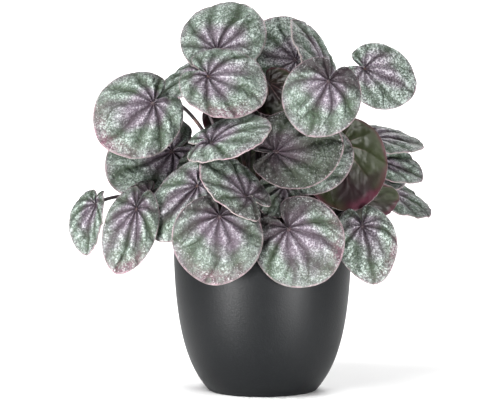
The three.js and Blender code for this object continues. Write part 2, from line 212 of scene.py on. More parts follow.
def far_leaf(bearing, out, height, span, roll, up):
    """Turns the short description into that of a front leaf, whose blade hangs down from its heart."""
    round_z = math.radians(bearing)
    outward = Vector((math.cos(round_z), math.sin(round_z), 0))
    sideways = Vector((-outward.y, outward.x, 0))
    heart = outward * out + Vector((0, 0, height))
    down = outward * math.sin(math.radians(up)) - Vector((0, 0, math.cos(math.radians(up))))
    rolled = down * math.cos(math.radians(roll)) + sideways * math.sin(math.radians(roll))
    return dict(heart=heart[:], tip=(heart + rolled * span)[:], faces=(bearing, up))


leaves = LEAVES + [far_leaf(**leaf) for leaf in FAR_LEAVES]
print("leaves in all:", len(leaves))

# %% [markdown]
# ## The leaf blank
# Each leaf has the same make: a heart-shaped blade that is grooved along its veins, and a round
# stalk. It could be sculpted 44 times. It is quicker, and kinder to later changes, to cut one flat
# blank and to bend copies of it. The blank is a disc with a wedge missing, spun from a single row of
# points. Round it, the distance from the middle says how far out a point lies on the blade. Above it
# stands a straight tube for the stalk. The blade's lower skin is a copy of the upper one, and
# bridge_loops closes the margin between them.

# %% Spin the upper skin of the blank
SPOKES = 108
RINGS = 26
BLANK_THICKNESS = 0.043

blank = bmesh.new()
row = [blank.verts.new((ring / RINGS, 0, 0)) for ring in range(RINGS + 1)]
for inner, outer in zip(row, row[1:]):
    blank.edges.new((inner, outer))
bmesh.ops.rotate(blank, verts=blank.verts, cent=(0, 0, 0), matrix=Matrix.Rotation(-NOTCH_ANGLE, 3, "Z"))
bmesh.ops.spin(
    blank,
    geom=blank.verts[:] + blank.edges[:],
    cent=(0, 0, 0),
    axis=(0, 0, 1),
    angle=2 * NOTCH_ANGLE,
    steps=SPOKES,
)
bmesh.ops.remove_doubles(blank, verts=blank.verts, dist=1e-6)
bmesh.ops.recalc_face_normals(blank, faces=blank.faces)
if blank.faces[0].normal.z < 0:
    bmesh.ops.reverse_faces(blank, faces=blank.faces)
print("faces on the upper skin:", len(blank.faces))

# %% Add the lower skin, close the margin and round it
MARGIN_ROUND = 0.012
NEARLY_OUTSIDE = 0.999
SHARP = math.radians(60)
margin = [edge for edge in blank.edges if edge.is_boundary]
copied = bmesh.ops.duplicate(blank, geom=blank.faces[:] + blank.edges[:] + blank.verts[:])["geom"]
lower_skin = [item for item in copied if isinstance(item, bmesh.types.BMFace)]
lower_points = [item for item in copied if isinstance(item, bmesh.types.BMVert)]
bmesh.ops.translate(blank, verts=lower_points, vec=(0, 0, -BLANK_THICKNESS))
bmesh.ops.reverse_faces(blank, faces=lower_skin)
lower_margin = [item for item in copied if isinstance(item, bmesh.types.BMEdge) and item.is_boundary]
bmesh.ops.bridge_loops(blank, edges=margin + lower_margin)
bmesh.ops.recalc_face_normals(blank, faces=blank.faces)


def on_margin(edge):
    """True for the sharp edges round the outside, but not for those of the notch."""
    far_out = all(vert.co.xy.length > NEARLY_OUTSIDE for vert in edge.verts)
    return far_out and edge.calc_face_angle(0) > SHARP


bmesh.ops.bevel(
    blank,
    geom=[edge for edge in blank.edges if on_margin(edge)],
    affect="EDGES",
    offset=MARGIN_ROUND,
    segments=2,
    profile=0.5,
    material=-1,
)
print("faces on the blade:", len(blank.faces))

# %% Stand the stalk's tube above the blade
# A point's height above 1 says how far along the stalk it lies, from the blade to the root. All that
# lies above BLADE_TOP belongs to the stalk.
TUBE_SIDES = 12
TUBE_STEPS = 30
BLADE_TOP = 0.5
tube = bmesh.ops.create_cone(
    blank,
    cap_ends=True,
    segments=TUBE_SIDES,
    radius1=1,
    radius2=1,
    depth=1,
    matrix=Matrix.Translation((0, 0, 1.5)),
)["verts"]
tube_edges = {edge for vert in tube for edge in vert.link_edges}
upright = [edge for edge in tube_edges if abs(edge.verts[0].co.z - edge.verts[1].co.z) > 0.5]
bmesh.ops.subdivide_edges(blank, edges=upright, cuts=TUBE_STEPS - 1, use_grid_fill=True)
print("faces with the stalk:", len(blank.faces))

# %% [markdown]
# ## A map of the veins
# The colours follow the veins, so the finishes need to know where a point lies on the leaf. A UV map
# can tell them: here U runs round the blade, from one side of the notch to the other, and V runs from
# the heart to the margin. It is written once, on the blank, and every copy carries it. At the heart
# all spokes meet, so each triangle there takes the middle of its own two spokes.

# %% Write the vein map and name the skins
UPPER, LOWER, MARGIN, STALK = range(4)
FLAT = 0.9
AT_HEART = 0.001
vein_map = blank.loops.layers.uv.new("vein_map")


def place_on_blank(point):
    """Spoke from -1 to 1, ring from 0 to 1."""
    return math.atan2(point.y, point.x) / NOTCH_ANGLE, point.xy.length


for face in blank.faces:
    middle = face.calc_center_median()
    if middle.z > BLADE_TOP:
        face.material_index = STALK
    elif face.normal.z > FLAT:
        face.material_index = UPPER
    elif face.normal.z < -FLAT:
        face.material_index = LOWER
    else:
        face.material_index = MARGIN
    middle_spoke = place_on_blank(middle)[0]
    for loop in face.loops:
        spoke, ring = place_on_blank(loop.vert.co)
        if face.material_index == STALK:
            ring = loop.vert.co.z - 1
        elif ring < AT_HEART:
            spoke = middle_spoke
        loop[vein_map].uv = ((spoke + 1) / 2, ring)
    face.smooth = True
blank_mesh = bpy.data.meshes.new("leaf_blank")
blank.to_mesh(blank_mesh)
blank.free()
print("points on the blank:", len(blank_mesh.vertices))

# %% [markdown]
# ## Bending the blank
# Each point of the blank is moved by a formula. It gives the outline of the blade first, and then the
# height of the skin above a flat plane: the ribs between the veins, the sunken heart, the domed
# shape, the wavy margin, the side veins that fork off the main ones, and small puckers. Modifiers
# could lift the ribs from a picture, but a formula needs no picture, and the finish can use it too.
# It works on all points at once, as arrays.

# %% The outline of a blade
LOBES_FROM = math.radians(60)
LOBES_TO = math.radians(150)


def rise(value, low, high):
    """Goes smoothly from 0 at low to 1 at high."""
    part = np.clip((value - low) / (high - low), 0, 1)
    return part * part * (3 - 2 * part)


def blade_radius(leaf):
    span = (Vector(leaf["tip"]) - Vector(leaf["heart"])).length * MM
    return span / (1 + CENTRE_OFFSET + leaf.get("point", TIP_POINT))


def blade_reach(leaf, angle):
    """Distance from the heart to the margin at an angle from the tip, in blade radii."""
    lobes = leaf.get("lobes", 1)
    circle = CENTRE_OFFSET * np.cos(angle) + np.sqrt(1 - (CENTRE_OFFSET * np.sin(angle)) ** 2)
    point = leaf.get("point", TIP_POINT)
    tip = point * np.exp(-((angle / (TIP_POINT_WIDTH * (1 + TIP_POINT_SPREAD * point))) ** 2))
    behind = np.abs(angle)
    size = 1 + (lobes * (1 + LOBE_SWELL) - 1) * rise(behind, LOBES_FROM, LOBES_TO)
    turn = np.clip((behind - LOBE_TURN) / (NOTCH_ANGLE - LOBE_TURN), 0, 1)
    return (circle + tip) * size * (NOTCH_REACH + (1 - NOTCH_REACH) * np.sqrt(1 - turn**2))


print("from heart to tip, in blade radii:", round(float(blade_reach({}, 0)), 2))

# %% The relief of a blade
# A rib rises from the heart by a power of the distance and fades towards the margin. A fork is a side
# vein that leaves its main vein at FORK_START and reaches the middle of the rib at FORK_END.
RIB_POWER = 0.7
RIB_FADE = 0.45
GROOVE_POWER = 0.8
FORK_START = 0.4
FORK_END = 0.98
FORK_DEPTH = 0.03
FORK_WIDTH = 0.035
FORK_FADE = 0.7
VEIN_NUMBERS = np.arange(-5, 6)
SIDE_VEINS = 20
PUCKER_HEIGHT = 0.38 * MM
PUCKER_LENGTHS = (3.2 * MM, 4.1 * MM, 5.3 * MM, 6.7 * MM)


def beside_vein(spoke):
    """0 on a main vein, 0.5 in the middle of a rib."""
    ribs = RIBS_PER_SIDE * spoke
    return np.abs(ribs - np.round(ribs))


def draw_veins(spoke, chance):
    """How deep the nearest main veins and the side veins are, from 0 to 1, drawn for one leaf."""
    ribs = RIBS_PER_SIDE * spoke
    depths = [chance.uniform(0.4, 1) * (1 - 0.35 * (vein % 2)) for vein in VEIN_NUMBERS]
    side_depths = np.array([chance.choice((0, 0.25, 1)) for _ in range(SIDE_VEINS)])
    nearest_side_vein = np.floor(2 * ribs).astype(int) + SIDE_VEINS // 2
    return np.interp(ribs, VEIN_NUMBERS, depths), side_depths[nearest_side_vein]


def ribs_and_forks(spoke, ring, main, side):
    """Height of the ribs, with the side veins that cross them, in blade radii."""
    swell = ring**RIB_POWER * (1 - RIB_FADE * ring**3)
    hollow = 1 - np.abs(np.sin(math.pi * RIBS_PER_SIDE * spoke)) ** GROOVE_POWER
    ribs = RIB_HEIGHT * swell * (1 - hollow * (0.5 + 0.5 * main))
    fork = 0.5 * rise(ring, FORK_START, FORK_END)
    aside = (beside_vein(spoke) - fork) * ring / FORK_WIDTH
    seen = rise(ring, FORK_START + 0.03, FORK_START + 0.2) * (1 - FORK_FADE * rise(ring, 0.82, 1))
    return ribs - FORK_DEPTH * np.exp(-(aside**2)) * seen * side


def puckers(x, y, chance):
    """Small swellings, as a sum of waves that run in random directions."""
    height = np.zeros_like(x)
    for length in PUCKER_LENGTHS:
        for _ in range(2):
            bearing = chance.uniform(0, math.pi)
            phase = chance.uniform(0, 2 * math.pi)
            across = x * math.cos(bearing) + y * math.sin(bearing)
            height += np.sin(2 * math.pi * across / length + phase)
    return PUCKER_HEIGHT * height / len(PUCKER_LENGTHS)


print("a main rib stands", round(RIB_HEIGHT * TYPICAL_RADIUS / MM, 1), "mm above its veins")

# %% A blade in its own axes: X to the tip, Z out of the upper side
# The veins wander to and fro by waves that turn so often round the blade and bend so often on the way
# out. The phases are in radians.
VEIN_WANDER = math.radians(3.5)
WANDER_WAVES = ((2.4, 1), (4.1, 5), (6.3, 8))
LAST_PHASE = 6.28
HEART_WIDTH = 0.25
MARGIN_THINNING = 0.3


def blade_points(leaf, spoke, ring, depth, veins, chance):
    """Points of one blade. depth: 0 on the upper skin and 1 on the lower."""
    radius = blade_radius(leaf)
    wander = sum(
        np.sin(turns * math.pi * spoke + bends * ring + chance.uniform(0, LAST_PHASE))
        for turns, bends in WANDER_WAVES
    )
    wander = VEIN_WANDER * wander * ring * (1 - spoke**2)
    angle = NOTCH_ANGLE * spoke * (1 - VEIN_CURVE * ring * (1 - spoke**2)) + wander
    reach = ring * blade_reach(leaf, angle)
    x = reach * np.cos(angle)
    y = reach * np.sin(angle) * leaf.get("wide", 1)
    sink = HEART_SINK * np.exp(-((ring / HEART_WIDTH) ** 2))
    dome = DOME * ring**3
    wave = MARGIN_WAVE * ring * ring * np.sin(3 * angle + leaf["heart"][0])
    fold = leaf.get("fold", 0) * (np.hypot(y, MIDRIB_ROUND) - MIDRIB_ROUND)
    height = radius * (ribs_and_forks(spoke, ring, *veins) - sink - dome + wave + fold)
    height += puckers(x * radius, y * radius, chance) * rise(ring, 0.1, 0.4)
    thickness = BLADE_THICKNESS * (1 - MARGIN_THINNING * ring**4)
    return np.stack([x * radius, y * radius, height - depth * thickness], axis=1)


def blade_axes(leaf):
    """The heart, and the directions along to the tip, across, and out of the upper side."""
    heart = Vector(leaf["heart"]) * MM
    along = (Vector(leaf["tip"]) * MM - heart).normalized()
    round_z, up = (math.radians(angle) for angle in leaf["faces"])
    face = Vector((math.cos(up) * math.cos(round_z), math.cos(up) * math.sin(round_z), math.sin(up)))
    out = (face - along * face.dot(along)).normalized()
    return heart, along, out.cross(along), out


print("first leaf's blade radius:", round(blade_radius(leaves[0]) / MM, 1), "mm")

# %% [markdown]
# ## The stalks
# A stalk leaves the heart backwards, bends over and stands in the potting mix. Its path is one cubic
# curve, whose four points come from the leaf's place, and a straight root below it. The tube of the
# blank is laid along the path. A curve object with a bevel would do it as well, but then blade and
# stalk couldn't share one mesh, as they share one skin on the real leaf.

# %% The path of a stalk
# Heights and distances of a heart are in millimetres, as in the table of leaves.
HEART_TOP = 230
HEART_DROP = 130
HEART_FAR = 90
ROOT_SHARES = (0.15, 0.45, 0.4)
ROOT_RISE = 1.5 * MM
STALK_BACK = 0.75
STALK_AWAY = 0.65
BEND_AT_BLADE = 0.22
BEND_AT_ROOT = 0.5
REACH_UNDER_BLADE = 2.2 * MM


def cubic_weights(t):
    """Shares of the four points of a cubic curve, at t from 0 to 1."""
    return (1 - t) ** 3, 3 * t * (1 - t) ** 2, 3 * t * t * (1 - t), t**3


def root_point(leaf):
    """Where a stalk leaves the soil: on the leaf's own side, further out for a leaf that hangs low."""
    x, y, z = leaf["heart"]
    low = min(max((HEART_TOP - z) / HEART_DROP, 0), 1)
    outward = min(math.hypot(x, y) / HEART_FAR, 1)
    least, by_height, by_distance = ROOT_SHARES
    ring = ROOT_RING * (least + by_height * low + by_distance * outward)
    bearing = math.atan2(y, x)
    root = leaf.get("root", (ring * math.cos(bearing), ring * math.sin(bearing)))
    return Vector((root[0] * MM, root[1] * MM, SOIL_LEVEL + ROOT_RISE))


def root_direction(root):
    """Stalks stand almost upright in the soil and lean outwards, more so towards the pot's wall."""
    lean = ROOT_LEAN * (1 / ROOT_RING + 1 / (ROOT_RING * max(root.length / MM, 1)))
    return Vector((root.x / MM * lean, root.y / MM * lean, 1)).normalized()


def stalk_path(leaf, steps):
    """Points from under the blade down to the root."""
    heart, along, _, out = blade_axes(leaf)
    depth = HEART_SINK * blade_radius(leaf) + BLADE_THICKNESS / 2
    start = heart - out * depth - along * STALK_INSET
    leaving = -out * leaf.get("back", STALK_BACK) - along * leaf.get("away", STALK_AWAY)
    root = root_point(leaf)
    direction = root_direction(root)
    distance = (start - root).length
    bend = (
        start,
        start + leaving * BEND_AT_BLADE * distance,
        root + direction * BEND_AT_ROOT * distance,
        root,
    )
    points = []
    for t in np.linspace(0, 1, steps):
        points.append(sum((p * w for p, w in zip(bend, cubic_weights(t))), Vector()))
    under_blade = start + along * REACH_UNDER_BLADE
    return [under_blade, *points, root - direction * ROOT_DEPTH]


print("points on the path of the first stalk:", len(stalk_path(leaves[0], TUBE_STEPS - 1)))

# %% Lay the tube along the path
TUBE_TIP = 0.45
NARROW = 0.86
FLARE = 1.12


def stalk_points(leaf, flat):
    """The tube's points, carried along the path by a frame that turns with it as little as it can."""
    path = stalk_path(leaf, TUBE_STEPS - 1)
    step_of = np.round((flat[:, 2] - 1) * TUBE_STEPS).astype(int)
    placed = np.zeros_like(flat)
    side = blade_axes(leaf)[2]
    for step, centre in enumerate(path):
        ahead = path[min(step + 1, TUBE_STEPS)] - path[max(step - 1, 0)]
        side = (side - ahead * (side.dot(ahead) / ahead.length_squared)).normalized()
        other = ahead.normalized().cross(side)
        part = step / TUBE_STEPS
        radius = STALK_RADIUS * (NARROW + (FLARE - NARROW) * part**2)
        if step == 0:
            radius = STALK_RADIUS * TUBE_TIP
        here = step_of == step
        ring = flat[here]
        placed[here] = (
            np.array(centre)
            + radius * ring[:, :1] * np.array(side)
            + radius * ring[:, 1:2] * np.array(other)
        )
    return placed


print("stalk:", round(2 * STALK_RADIUS * NARROW / MM, 1), "mm across at the blade")

# %% [markdown]
# ## Shader sums as plain expressions
# A material is a tree of nodes, and a sum of two values is a node as well. Written out one by one, the
# nodes hide the sum. So one small class stands for an output of a node, and its Python operators add
# the Math nodes. A second class is a finish in the making, and adds any other node.

# %% A wire can be used in sums


class Wire:
    """An output socket. Sums with wires and numbers add Math nodes to the finish."""

    def __init__(self, finish, socket):
        self.finish = finish
        self.socket = socket

    def maths(self, operation, *values):
        inputs = dict(enumerate(values))
        return self.finish.node("ShaderNodeMath", {"operation": operation}, inputs)

    def __add__(self, other):
        return self.maths("ADD", self, other)

    def __radd__(self, other):
        return self.maths("ADD", other, self)

    def __sub__(self, other):
        return self.maths("SUBTRACT", self, other)

    def __rsub__(self, other):
        return self.maths("SUBTRACT", other, self)

    def __mul__(self, other):
        return self.maths("MULTIPLY", self, other)

    def __abs__(self):
        return self.maths("ABSOLUTE", self)

    def __round__(self):
        return self.maths("ROUND", self)

    def rise(self, low, high):
        """Goes smoothly from 0 at low to 1 at high."""
        settings = {"interpolation_type": "SMOOTHSTEP"}
        return self.finish.node("ShaderNodeMapRange", settings, {0: self, 1: low, 2: high})


class Finish:
    """A material with one Principled shader."""

    def __init__(self, name, **fixed):
        self.material = bpy.data.materials.new(name)
        self.material.use_nodes = True
        self.tree = self.material.node_tree
        self.shader = self.tree.nodes["Principled BSDF"]
        for socket, value in fixed.items():
            self.shader.inputs[socket.replace("_", " ")].default_value = value

    def node(self, kind, settings=None, inputs=None, output=0):
        """Adds a node, first with its settings and then with the values or wires of its sockets."""
        added = self.tree.nodes.new(kind)
        for name, value in (settings or {}).items():
            setattr(added, name, value)
        for socket, value in (inputs or {}).items():
            if isinstance(value, Wire):
                self.tree.links.new(value.socket, added.inputs[socket])
            else:
                added.inputs[socket].default_value = value
        return Wire(self, added.outputs[output])

    def place(self):
        return self.node("ShaderNodeTexCoord", output="Object")

    def kept(self, name):
        """A number that is kept at each point of the mesh."""
        return self.node("ShaderNodeAttribute", {"attribute_name": name}, output="Fac")

    def grain(self, size, detail=2.0, roughness=0.5):
        """Noise from 0 to 1 whose features are about as wide as size."""
        inputs = {"Vector": self.place(), "Scale": 0.5 / size, "Detail": detail, "Roughness": roughness}
        return self.node("ShaderNodeTexNoise", None, inputs)

    def islands(self, size):
        """How far in from the border of a cell a point lies, for cells about as wide as size."""
        waves = {"Vector": self.place(), "Scale": 1 / size}
        bend = self.node("ShaderNodeTexNoise", None, waves, output=1)
        shift = {0: bend, 1: (size * 0.5,) * 3, 2: self.place()}
        bent = self.node("ShaderNodeVectorMath", {"operation": "MULTIPLY_ADD"}, shift)
        cells = {"Vector": bent, "Scale": 1 / size}
        return self.node("ShaderNodeTexVoronoi", {"feature": "DISTANCE_TO_EDGE"}, cells)

    def mix(self, low, high, factor):
        """From one colour to another as factor goes from 0 to 1."""
        inputs = {0: factor, 6: low, 7: high}
        return self.node("ShaderNodeMix", {"data_type": "RGBA"}, inputs, output=2)

    def set(self, **varying):
        for socket, wire in varying.items():
            self.tree.links.new(wire.socket, self.shader.inputs[socket.replace("_", " ")])

    def bump(self, height, distance):
        inputs = {"Distance": distance, "Height": height}
        self.set(Normal=self.node("ShaderNodeBump", None, inputs))


def paint(red, green, blue):
    """A colour as a paint chart gives it, from 0 to 255, turned into light."""
    parts = [value / 255 for value in (red, green, blue)]
    light = [p / 12.92 if p <= 0.04045 else ((p + 0.055) / 1.055) ** 2.4 for p in parts]
    return (*light, 1.0)


print("mid grey as light:", round(paint(128, 128, 128)[0], 3))

# %% [markdown]
# ## The upper side of a leaf
# The colours of this leaf lie in layers. The ribs are mauve near the heart and silvery green further
# out, to a distance that changes from rib to rib. The grooves have a dark core and softer flanks,
# plum near the heart and olive further out, partly the veins' own colour and partly painted shade
# for the shade in the deep grooves. A net of fine veins parts the skin between them into islands.
# Painted shade darkens whole leaves, most of them inside the plant or low in it, and lies on some
# lobes over their own darker plum. Over all lies a frost of fine pale grains, thickest on the ribs,
# where it is partly the plant's own frost and partly a painted highlight on the swelling rib tops,
# with dark grains and a few white specks. More or less frost on some whole leaves is painted light
# or shade. The margin ends in a thin pale line. Each layer is one mask, mixed over the last. A
# painted picture could hold the same, but it would be as coarse as its pixels, and would look the
# same on every leaf.

# %% Colours of the leaf
RIB_MAUVE = paint(104, 93, 106)
RIB_SILVER = paint(94, 107, 98)
RIB_GREEN = paint(60, 76, 56)
EDGE_PLUM = paint(90, 72, 86)
# The flank and groove colours also serve as painted shade: in the deep grooves, on the shaded leaves
# and on the lobes.
FLANK_PLUM = paint(60, 46, 57)
FLANK_GREEN = paint(42, 60, 38)
GROOVE_PLUM = paint(36, 24, 30)
GROOVE_OLIVE = paint(32, 44, 26)
FROST_MAUVE = paint(174, 169, 175)
FROST_GREEN = paint(166, 177, 171)
FROST_WHITE = paint(204, 208, 208)
DARK_GRAIN = paint(34, 28, 33)
BLUSH = paint(94, 42, 68)
MARGIN_PINK = paint(146, 124, 130)
MARGIN_PALE = paint(128, 122, 118)
HEART_TAN = paint(120, 92, 90)


def vein_place(finish):
    """Distance beside the nearest main vein, from 0 to 0.5, and distance out from the heart, 0 to 1."""
    vector = finish.node("ShaderNodeUVMap", {"uv_map": "vein_map"})
    round_blade = finish.node("ShaderNodeSeparateXYZ", None, {0: vector})
    ring = Wire(finish, round_blade.socket.node.outputs[1])
    ribs = (round_blade * 2 - 1) * RIBS_PER_SIDE
    return abs(ribs - round(ribs)), ring


def groove_masks(finish, beside, ring):
    """From 0 to 1: how far a point lies in a main groove, on its flank and in a side groove."""
    ragged = (finish.grain(3 * MM, 3.0, 0.6) - 0.5) * 0.1
    away = beside * (ring * 0.75 + 0.2) + ragged
    main_depth = finish.kept("main_depth") * 0.8 + 0.2
    core = (1 - away.rise(0.0, 0.13)) * main_depth
    flank = (1 - away.rise(0.04, 0.3)) * main_depth
    fork = ring.rise(FORK_START, FORK_END) * 0.5
    aside = abs(beside - fork) * ring + ragged * 0.4
    side = (1 - aside.rise(-0.01, 0.08)) * ring.rise(FORK_START, FORK_START + 0.2)
    return core, flank, side * (1 - ring.rise(0.8, 1.0) * 0.7) * finish.kept("side_depth")


print("colours of the leaf are named")

# %% Build the upper finish


def make_upper_finish():
    finish = Finish("leaf_upper_side", Specular_IOR_Level=0.3)
    beside, ring = vein_place(finish)
    core, flank, side = groove_masks(finish, beside, ring)
    cloud = finish.grain(9 * MM, 2.0)
    patch = finish.grain(2.6 * MM, 3.0, 0.6)
    fine = finish.grain(0.55 * MM, 2.0, 0.7)
    coarse = finish.grain(0.9 * MM, 2.0, 0.7)
    speck = finish.grain(0.5 * MM, 1.0, 0.5)
    island = finish.islands(7 * MM).rise(0.0, 0.25)
    puff = beside.rise(0.0, 0.5)
    edge = ring.rise(0.7, 1.0)

    out = ring + (cloud - 0.5) * 0.7 + finish.kept("mauve_reach") * ring
    green = out.rise(0.32, 0.75)
    rib = finish.mix(RIB_MAUVE, RIB_SILVER, green)
    rib = finish.mix(rib, RIB_GREEN, patch.rise(0.44, 0.7) * green * 0.5)
    rib = finish.mix(rib, EDGE_PLUM, (ring + (cloud - 0.5) * 0.6).rise(0.78, 1.05) * 0.7)
    # Flanks and cores darken the grooves, partly in the veins' own colour and partly as painted shade
    # in the deep grooves.
    colour = finish.mix(rib, finish.mix(FLANK_PLUM, FLANK_GREEN, green), flank * (0.9 - edge * 0.3))
    groove = finish.mix(GROOVE_PLUM, GROOVE_OLIVE, green)
    colour = finish.mix(colour, groove, core * (0.95 - edge * 0.35))
    colour = finish.mix(colour, groove, side * 0.85)
    net = (1 - island) * ring.rise(0.25, 0.55)
    colour = finish.mix(colour, groove, net * (0.45 - edge * 0.3))
    colour = finish.mix(colour, BLUSH, finish.kept("blush") * (patch.rise(0.3, 0.6) * 0.7 + 0.2))
    # Painted shade: whole leaves, most of them inside the plant or low in it, are darkened.
    painted_shade = finish.kept("painted_shade")
    # The lobes darken partly in their own plum and partly by painted shade.
    lobes = finish.kept("lobe_shade_and_tone")
    colour = finish.mix(colour, finish.mix(groove, GROOVE_PLUM, 0.3), painted_shade)
    colour = finish.mix(colour, GROOVE_PLUM, lobes)
    colour = finish.mix(colour, DARK_GRAIN, coarse.rise(0.5, 0.66) * (0.4 + edge * 0.2))
    bare = (1 - core * 0.95) * (1 - flank * 0.75) * (1 - painted_shade * 0.9) * (1 - lobes * 0.9)
    bare = bare * (1 - net * 0.5)
    # The frost is thickest on the middle of each rib, partly the plant's own frost and partly a painted
    # highlight on the swelling rib tops. The leaf's kept frost number adds frost as painted light on
    # some whole leaves and takes it away as painted shade on others.
    thick = 0.58 + puff * (1 - edge) * 0.65 + edge * 0.15 - side * 0.5 + finish.kept("painted_light_frost")
    frost = fine.rise(0.41, 0.69) * bare * thick
    colour = finish.mix(colour, finish.mix(FROST_MAUVE, FROST_GREEN, green), frost)
    sparkle = speck.rise(0.6, 0.7) * (0.12 + edge * patch.rise(0.4, 0.6) * 0.35) * (1 - core * 0.5)
    colour = finish.mix(colour, FROST_WHITE, sparkle)
    colour = finish.mix(colour, FLANK_PLUM, (1 - ring.rise(0.03, 0.2)) * 0.75)
    colour = finish.mix(colour, HEART_TAN, (1 - ring.rise(0.0, 0.07)) * 0.6)
    pale_line = ring.rise(0.965, 0.985) * (0.2 + patch.rise(0.45, 0.6) * 0.4)
    colour = finish.mix(colour, MARGIN_PINK, pale_line)
    finish.set(Base_Color=colour, Roughness=0.5 + fine * 0.3)
    finish.bump(fine * 0.5 + patch * 0.6 + puff * (1 - edge * 0.6) * 2.4 + island * green, 0.6 * MM)
    return finish.material


upper_finish = make_upper_finish()
print("nodes in the upper finish:", len(upper_finish.node_tree.nodes))

# %% [markdown]
# ## The lower side, the margin and the stalk
# The underside has no frost. It is smooth and a little glossy, dark olive in the middle and wine red
# towards the margin, with veins that stand out and are a little paler. The margin is thin, pale and
# pink in places. The stalks are plum, nearly black, and browner in places.

# %% Build the other leaf finishes
UNDER_OLIVE = paint(37, 42, 22)
UNDER_PLUM = paint(30, 18, 20)
UNDER_WINE = paint(64, 20, 36)
UNDER_VEIN = paint(112, 88, 84)
STALK_PLUM = paint(44, 32, 36)
STALK_BROWN = paint(120, 72, 44)


def make_lower_finish():
    finish = Finish("leaf_lower_side", Specular_IOR_Level=0.3)
    beside, ring = vein_place(finish)
    side = groove_masks(finish, beside, ring)[2]
    cloud = finish.grain(14 * MM, 2.0)
    skin = finish.grain(0.7 * MM, 2.0)
    colour = finish.mix(UNDER_OLIVE, UNDER_PLUM, cloud.rise(0.4, 0.62))
    colour = finish.mix(colour, UNDER_WINE, (ring + (cloud - 0.5) * 0.5).rise(0.86, 1.0) * 0.85)
    narrow = 1 - (beside * ring).rise(0.0, 0.035)
    colour = finish.mix(colour, UNDER_VEIN, narrow * (1 - ring.rise(0.25, 0.7)) * 0.35)
    colour = finish.mix(colour, UNDER_PLUM, side * 0.4)
    finish.set(Base_Color=colour, Roughness=0.34 + skin * 0.2)
    finish.bump(skin, 0.1 * MM)
    return finish.material


def make_margin_finish():
    finish = Finish("leaf_margin", Specular_IOR_Level=0.4)
    patch = finish.grain(5 * MM, 2.0)
    colour = finish.mix(MARGIN_PALE, MARGIN_PINK, patch.rise(0.45, 0.6))
    colour = finish.mix(colour, UNDER_WINE, patch.rise(0.55, 0.7) * 0.4)
    finish.set(Base_Color=colour, Roughness=0.45 + patch * 0.2)
    return finish.material


def make_stalk_finish():
    finish = Finish("leaf_stalk", Specular_IOR_Level=0.5)
    patch = finish.grain(12 * MM, 3.0)
    skin = finish.grain(0.9 * MM, 2.0)
    colour = finish.mix(STALK_PLUM, STALK_BROWN, patch.rise(0.55, 0.7) * 0.8)
    finish.set(Base_Color=colour, Roughness=0.35 + skin * 0.25)
    finish.bump(skin, 0.15 * MM)
    return finish.material


leaf_finishes = [upper_finish, make_lower_finish(), make_margin_finish(), make_stalk_finish()]
print("leaf finishes:", [finish.name for finish in leaf_finishes])

# %% [markdown]
# ## Bend all the leaves
# Each copy of the blank gets its own place from the tables and its own veins, puckers and tint from a
# random draw with a fixed seed, so that the plant grows the same each time. What the finish must know
# of the leaf is kept as numbers at each point: the magenta blush at the margin, the painted shade of
# the whole leaf, the painted shade over its lobes' own darker plum, the painted light or shade laid on
# as more or less frost, how deep the veins are, and how far the mauve reaches.

# %% What is special about some leaves
# By the leaf's number. BLUSHING: the spoke that the blush lies on. Then, from 0 to 1: how much
# painted shade lies on the whole leaf, and how dark the lobes are, by painted shade over their own
# darker plum. Last: how much frost is added as painted light or taken away as painted shade.
BLUSHING = {1: 0.0, 3: -0.3, 11: 0.1, 13: 0.0, 14: 0.25, 24: 0.3}
BLUSH_STRENGTH = 0.8
BLUSH_WIDTH = 0.22
# Painted shade on whole leaves, most of them inside the plant or low in it.
PAINTED_SHADE_BY_LEAF = {
    1: 0.08, 9: 0.15, 10: 0.1, 11: 0.22, 12: 0.2, 13: 0.26, 14: 0.24, 15: 0.4, 16: 0.9, 17: 0.35,
    19: 0.15, 22: 0.7, 23: 0.15, 24: 0.25, 25: 0.75, 27: 0.95, 28: 0.85, 30: 0.75,
}
# Lobes darker partly in their own plum and partly by painted shade.
LOBE_SHADE_AND_TONE = {1: 0.1, 3: 0.15, 6: 0.9, 7: 0.1, 13: 0.75, 14: 0.8, 15: 0.6, 16: 0.6}
# Painted light on whole leaves as more frost, and painted shade as less.
PAINTED_LIGHT_AS_FROST = {2: 0.2, 4: 0.8, 6: -0.15, 7: 0.9, 11: -0.15, 12: 0.2, 13: -0.35, 14: -0.1, 24: 0.4}
print("leaves that are darker:", len(PAINTED_SHADE_BY_LEAF))

# %% Bend and place each leaf
flat = np.empty(len(blank_mesh.vertices) * 3)
blank_mesh.vertices.foreach_get("co", flat)
flat = flat.reshape(-1, 3)
on_stalk = flat[:, 2] > BLADE_TOP
spoke = np.arctan2(flat[:, 1], flat[:, 0]) / NOTCH_ANGLE
ring = np.hypot(flat[:, 0], flat[:, 1])
depth = -flat[:, 2] / BLANK_THICKNESS


